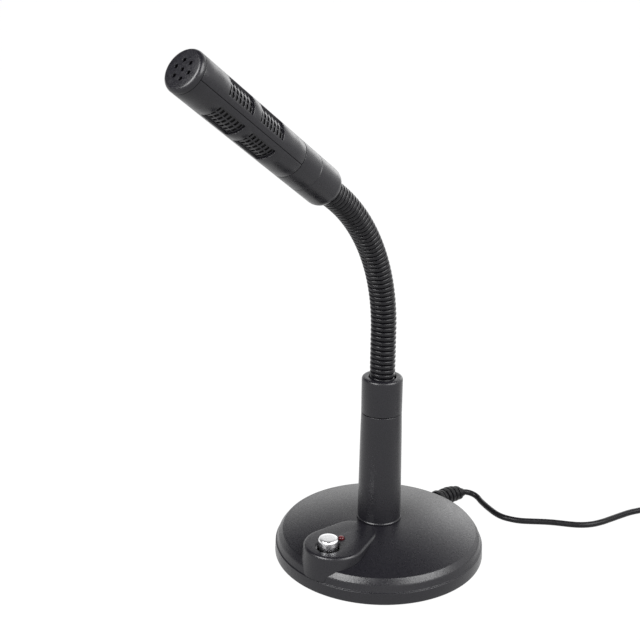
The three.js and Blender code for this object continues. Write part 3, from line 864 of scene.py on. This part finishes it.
TAIL_BORE_R = 5.95
FACE_HOLES_ROUND = 6
FACE_HOLES_R = 3.65
FACE_HOLE_R = 0.75


def add_capsule_ends(plastic):
    tail = lathe(
        "capsule_rear",
        [(TAIL_BORE_R, 0, 0.3), *rounded_end(0, 3.8, 2.4), (CAPSULE_R, TAIL_SEAM - 0.2, 0.1),
         (CAPSULE_R - 0.12, TAIL_SEAM), (CAPSULE_R, TAIL_SEAM + 0.2, 0.1),
         (CAPSULE_R, BACK_SEAM - SEAM_GAP, 0.25),
         (SHELL_IN_R - 0.2, BACK_SEAM - SEAM_GAP), (SHELL_IN_R - 0.2, BACK_SEAM + 4),
         (5.6, BACK_SEAM + 4), (5.6, 17), (TAIL_BORE_R, 17)],
        96,
    )
    on_capsule(smooth(tail), "black_shell", plastic, "capsule_tail")
    back = FRONT_SEAM + 0.1
    cap = lathe(
        "front_grille",
        [(0, CAPSULE_L), *rounded_end(CAPSULE_L, -1.9, 1.6), (CAPSULE_R, back),
         (6.9, back), (6.9, back - 2.6), (6.1, back - 2.6), (6.1, back + 0.4), (0, back + 0.4)],
        96,
    )
    places = [(0, 0)]
    for k in range(FACE_HOLES_ROUND):
        angle = math.tau * k / FACE_HOLES_ROUND
        places.append((FACE_HOLES_R * math.cos(angle), FACE_HOLES_R * math.sin(angle)))
    for x, y in places:
        drill = lathe(
            "drill",
            [(0, 80), (FACE_HOLE_R, 80), (FACE_HOLE_R, CAPSULE_L - 0.15, 0.1),
             (FACE_HOLE_R + 0.2, CAPSULE_L + 0.05), (FACE_HOLE_R + 0.2, 100), (0, 100)],
            24,
        )
        combine(cap, "DIFFERENCE", place(drill, x, y))
    on_capsule(smooth(cap), "black_shell", plastic, "front_cap")


# ------------------------------------------------------------------ lead's fittings
RELIEF_RIBS = (4.3, 4.4, 4.4, 4.2, 3.8)
RELIEF_RIB_PITCH = 2.8
RELIEF_BORE_R = 1.75


def add_relief(jacket):
    """A ribbed sleeve, bent sideways and down towards its tip."""
    corners = [(RELIEF_BORE_R, 42.6), (4, 42.6, 0.3), (4, 44.5, 0.3), (3.4, 44.5), (3.4, 50.3),
               (5.2, 50.3, 0.3), (5.2, RELIEF_FOOT_Y, 0.5)]
    for k, radius in enumerate(RELIEF_RIBS):
        y = 54 + k * RELIEF_RIB_PITCH
        corners += [(radius - 1, y, 0.3), (radius, y + 0.3, 0.3), (radius, y + 2, 0.3),
                    (radius - 1.1, y + 2.3, 0.3)]
    corners += [(2.5, 68.2, 0.3), (2.3, RELIEF_TIP_Y, 0.3), (RELIEF_BORE_R, RELIEF_TIP_Y),
                (RELIEF_BORE_R, 62), (RELIEF_BORE_R, 54)]
    relief = lathe("lead_relief", corners, 56, 3)
    move(relief, Matrix.Rotation(-math.pi / 2, 4, "X"))
    for vert in relief.data.vertices:
        reach = max(vert.co.y / MM - RELIEF_FOOT_Y, 0) / (RELIEF_TIP_Y - RELIEF_FOOT_Y)
        vert.co.x += RELIEF_SIDE * reach**2 * MM
        vert.co.z -= RELIEF_DROP * reach**2 * MM
    place(relief, z=LEAD_Z)
    settle(smooth(relief), "base", "soft_black", jacket, "strain_relief")


TIE_ANGLE = 3 * math.pi / 4
TIE_WIDTH = 3


def add_tie(material):
    """A flat band round the coil's bundle of turns."""
    low, high = COIL_LOW_Z - LEAD_D / 2, COIL_LOW_Z + 3 * TURN_STEP + LEAD_D / 2
    wide = TURN_RADII[0] - TURN_RADII[-1] + LEAD_D
    middle = (low + high) / 2
    outer = box("tie_band", (wide + 0.9, TIE_WIDTH, high - low + 0.9), (0, 0, middle))
    bevel(outer, 1.2, 3)
    inner = box("tie_inside", (wide + 0.1, 8, high - low + 0.1), (0, 0, middle))
    bevel(inner, 0.9, 3)
    combine(outer, "DIFFERENCE", inner)
    move(outer, Matrix.Rotation(TIE_ANGLE, 4, "Z"))
    radius = TURN_RADII[1]
    place(outer, COIL_X + radius * math.cos(TIE_ANGLE), COIL_Y + radius * math.sin(TIE_ANGLE))
    return settle(smooth(outer), "base", "component_white", material, "coil_tie")


GRIP_GROOVES_Y = (-12, -14.4, -16.8, -19.2, -21.6)
CONTACTS_X = (-3.5, -1, 1, 3.5)


def add_plug(jacket, metal, insert_material, contact_material):
    """A USB plug along -Y: gripped body, metal shell, tongue and its four contacts."""
    boot = box("plug_boot", (15.6, 21, 7.8), (0, -17.5, 0))
    bevel(boot, 1.4, 4)
    grooves = [
        box("groove", (20, 0.9, 20), (side * 17.3, y, 0))
        for side in (-1, 1)
        for y in GRIP_GROOVES_Y
    ]
    front = box("boot_front", (12, 3, 6.4), (0, -29.3, 0))
    bevel(front, 0.4, 2)
    neck = lathe(
        "boot_neck",
        [(0, 0), (2.4, 0, 0.3), (2.9, 5.6, 0.3), (3.5, 6.2, 0.3), (3.5, 8), (0, 8)],
        40,
    )
    move(neck, Matrix.Rotation(math.pi / 2, 4, "X"))
    seat = box("seat", (12.6, 4, 5.6), (0, -29.5, 0))
    combine(boot, "DIFFERENCE", *grooves)
    combine(boot, "UNION", front, neck)
    combine(boot, "DIFFERENCE", seat)
    bore = lathe("bore", rod(1.6, -0.5, 3), 32)
    combine(boot, "DIFFERENCE", move(bore, Matrix.Rotation(math.pi / 2, 4, "X")))

    shell = box("plug_sleeve", (12, 18.8, 4.5), (0, -37.3, 0))
    bevel(shell, 0.45, 3)
    combine(shell, "DIFFERENCE", box("mouth", (11.3, 18.3, 3.8), (0, -38.15, 0)))
    windows = [box("window", (2.4, 2, 10), (side * 2.9, -41, 0)) for side in (-1, 1)]
    combine(shell, "DIFFERENCE", *windows)

    insert = box("plug_tongue", (11, 16.9, 1.85), (0, -37.75, -0.825))
    bevel(insert, 0.15, 2)
    contacts = None
    for x in CONTACTS_X:
        strip = box("plug_contacts", (1.1, 12, 0.12), (x, -38.5, 0.13))
        contacts = combine(contacts, "UNION", strip) if contacts else strip
    offset = (PLUG_X, PLUG_Y, PLUG_Z)
    return [
        settle(smooth(place(boot, *offset)), "base", "soft_black", jacket, "plug_body"),
        settle(smooth(place(shell, *offset)), "base", "steel", metal, "plug_shell"),
        settle(smooth(place(insert, *offset)), "base", "component_white", insert_material,
               "plug_insert"),
        settle(smooth(place(contacts, *offset)), "base", "brass", contact_material),
    ]


# ------------------------------------------------------------------ CAD nodes that stay
def paint_nodes(materials):
    """New materials for the CAD nodes whose shapes are shown as they are."""
    for node, material in materials.items():
        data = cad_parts[node].data
        data.materials.clear()
        data.materials.append(material)


# ------------------------------------------------------------------ studio
SKY_AXIS = (-0.3, -0.3, 1)  # the sky darkens along it
SKY = [(0.3, 1), (0.46, 0.62), (0.62, 0.16), (0.8, 0.05)]  # distance along the axis, brightness
FLOOR_GLOW = 0.99


FLOOR_REACH = 30  # metres
SKY_STRENGTH = 1.5
AREA_LIGHTS = [  # name, place, target, size in metres, power in watts
    ("right_box", (0.74, 0.06, 0.74), (0, 0, 0.05), (0.7, 0.7), 15),
    ("front_box", (-0.12, -0.74, 0.74), (0, 0, 0.05), (0.62, 0.65), 19),
    ("rear_box", (-0.3, 1.5, 0.45), (0, 0, 0.15), (0.7, 0.7), 2.5),
]


def add_area_light(name, place_at, target, size, power):
    data = bpy.data.lights.new(name, "AREA")
    data.shape = "RECTANGLE"
    data.size, data.size_y = size
    data.energy = power
    light = bpy.data.objects.new(name, data)
    light.location = place_at
    aim = Vector(target) - Vector(place_at)
    light.rotation_euler = aim.to_track_quat("-Z", "Y").to_euler()
    bpy.context.collection.objects.link(light)


def add_world():
    """Bright near the horizon and dim overhead; the bright part reaches higher rear right."""
    world = bpy.data.worlds.new("studio")
    world.use_nodes = True
    tree = world.node_tree
    direction = tree.nodes.new("ShaderNodeTexCoord")
    along = tree.nodes.new("ShaderNodeVectorMath")
    along.operation = "DOT_PRODUCT"
    along.inputs[1].default_value = SKY_AXIS
    tree.links.new(direction.outputs["Generated"], along.inputs[0])
    shade = tree.nodes.new("ShaderNodeValToRGB")
    stops = shade.color_ramp.elements
    while len(stops) < len(SKY):
        stops.new(1)
    for stop, (distance, white) in zip(stops, SKY):
        stop.position = distance
        stop.color = (white, white, white, 1)
    tree.links.new(along.outputs["Value"], shade.inputs["Fac"])
    background = tree.nodes["Background"]
    tree.links.new(shade.outputs["Color"], background.inputs["Color"])
    background.inputs["Strength"].default_value = SKY_STRENGTH
    bpy.context.scene.world = world


def add_studio():
    reach = FLOOR_REACH / MM
    corners = [(x * reach, y * reach, 0) for x, y in ((-1, -1), (1, -1), (1, 1), (-1, 1))]
    floor = mesh_piece("studio_floor", corners, [(0, 1, 2, 3)])
    paper = new_material("studio_floor", (0.03, 0.03, 0.03), 0.9, specular=0.0)
    shader = paper.node_tree.nodes["Principled BSDF"]
    shader.inputs["Emission Color"].default_value = (1, 1, 1, 1)
    shader.inputs["Emission Strength"].default_value = FLOOR_GLOW
    floor.data.materials.append(paper)
    add_world()
    for light in AREA_LIGHTS:
        add_area_light(*light)
    bpy.context.scene.view_settings.view_transform = "Standard"


def build():
    add_camera()
    lead = add_lead()

    plastic = moulded_plastic()
    jacket = lead_jacket()
    metal = steel()
    white = plain("white_nylon", (0.7, 0.69, 0.65), 0.45)
    brass = plain("brass", (0.6, 0.43, 0.16), 0.35, 1.0)
    board = plain("board_green", (0.02, 0.11, 0.045), 0.45)
    part_black = plain("part_black", (0.02, 0.02, 0.021), 0.5)
    weight = plain("cast_weight", (0.14, 0.14, 0.145), 0.6, 0.6)

    lead.data.materials.append(jacket)
    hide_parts("usb_lead", "usb_lead_end", "lead_coil")
    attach(lead, "base")
    add_relief(jacket)
    tie = add_tie(white)
    plug = add_plug(jacket, metal, white, brass)

    add_base(plastic)
    add_pod(plastic)
    add_button(plated_silver())
    add_lamp(red_lens())
    add_post(plastic)
    add_neck(neck_paint())
    capsule = capsule_plastic()
    add_shells(capsule)
    add_capsule_ends(capsule)
    add_window_floors(capsule)
    paint_nodes({
        "base_plate": part_black,
        "foot_pad": foam(),
        "ballast_plate": weight,
        "switch_body": part_black,
        "switch_plunger": white,
        "circuit_board": board,
        "audio_chip": part_black,
        "crystal": metal,
        "capacitor": part_black,
        "mic_socket": white,
        "usb_socket": white,
        "post_washer": metal,
        "post_nut": brass,
        "mic_lead": jacket,
        "lead_inner": jacket,
        "element_lead": jacket,
        "face_foam": foam(),
        "window_foam": foam(),
        "microphone_element": metal,
        "element_holder": jacket,
        **{f"base_screw_{k}": metal for k in range(1, 5)},
    })
    add_studio()


build()
